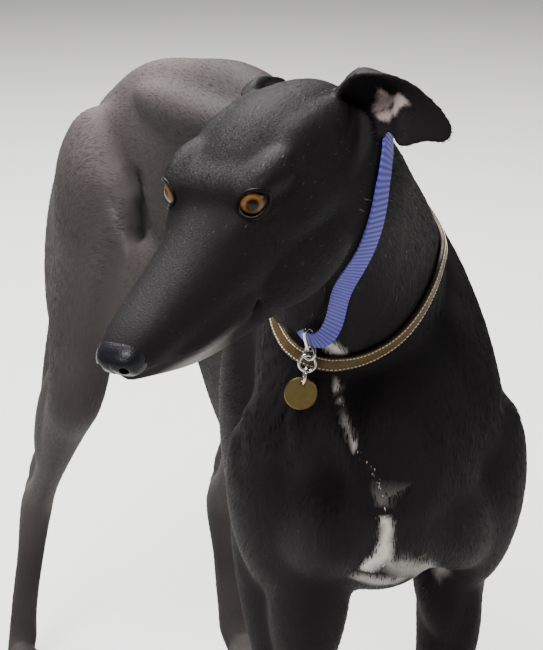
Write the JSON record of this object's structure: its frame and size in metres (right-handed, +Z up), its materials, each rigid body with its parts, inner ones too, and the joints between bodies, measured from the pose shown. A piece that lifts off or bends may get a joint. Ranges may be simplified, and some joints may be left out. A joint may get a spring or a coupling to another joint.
{
  "type": "greyhound",
  "caption": "Life-size greyhound standing square, head turned to its right, narrow muzzle, folded ears, deep chest, long tail, two collars and a blank tag.",
  "frame": {"origin": "centre of the bounding box on the floor under the dog", "axes": "+Z up, the trunk runs along Y with the chest towards -Y, the dog's left side is +X"},
  "size_m": [0.4386, 0.953, 0.7927],
  "materials": {
    "coat": "short glossy black coat",
    "nose_leather": "moist pebbled black nose leather",
    "eye": "wet dark brown eye",
    "blue_webbing": "ribbed blue nylon webbing",
    "brown_leather": "brown leather with pale stitching",
    "steel_ring": "bright steel wire",
    "brass_tag": "worn blank brass"
  },
  "bodies": {
    "root": {"head": "coat", "neck": "coat", "torso": "coat", "tail": "coat", "ear_left": "coat", "ear_right": "coat", "foreleg_left": "coat", "foreleg_right": "coat", "hindleg_left": "coat", "hindleg_right": "coat", "forepaw_left": "coat", "forepaw_right": "coat", "hindpaw_left": "coat", "hindpaw_right": "coat", "nose_pad": "nose_leather", "eye_left": "eye", "eye_right": "eye", "collar_blue": "blue_webbing", "collar_leather": "brown_leather", "keeper_ring": "steel_ring", "tag_link": "steel_ring", "tag_ring_upper": "steel_ring", "tag_ring_lower": "steel_ring", "tag": "brass_tag"}
  },
  "joints": []
}
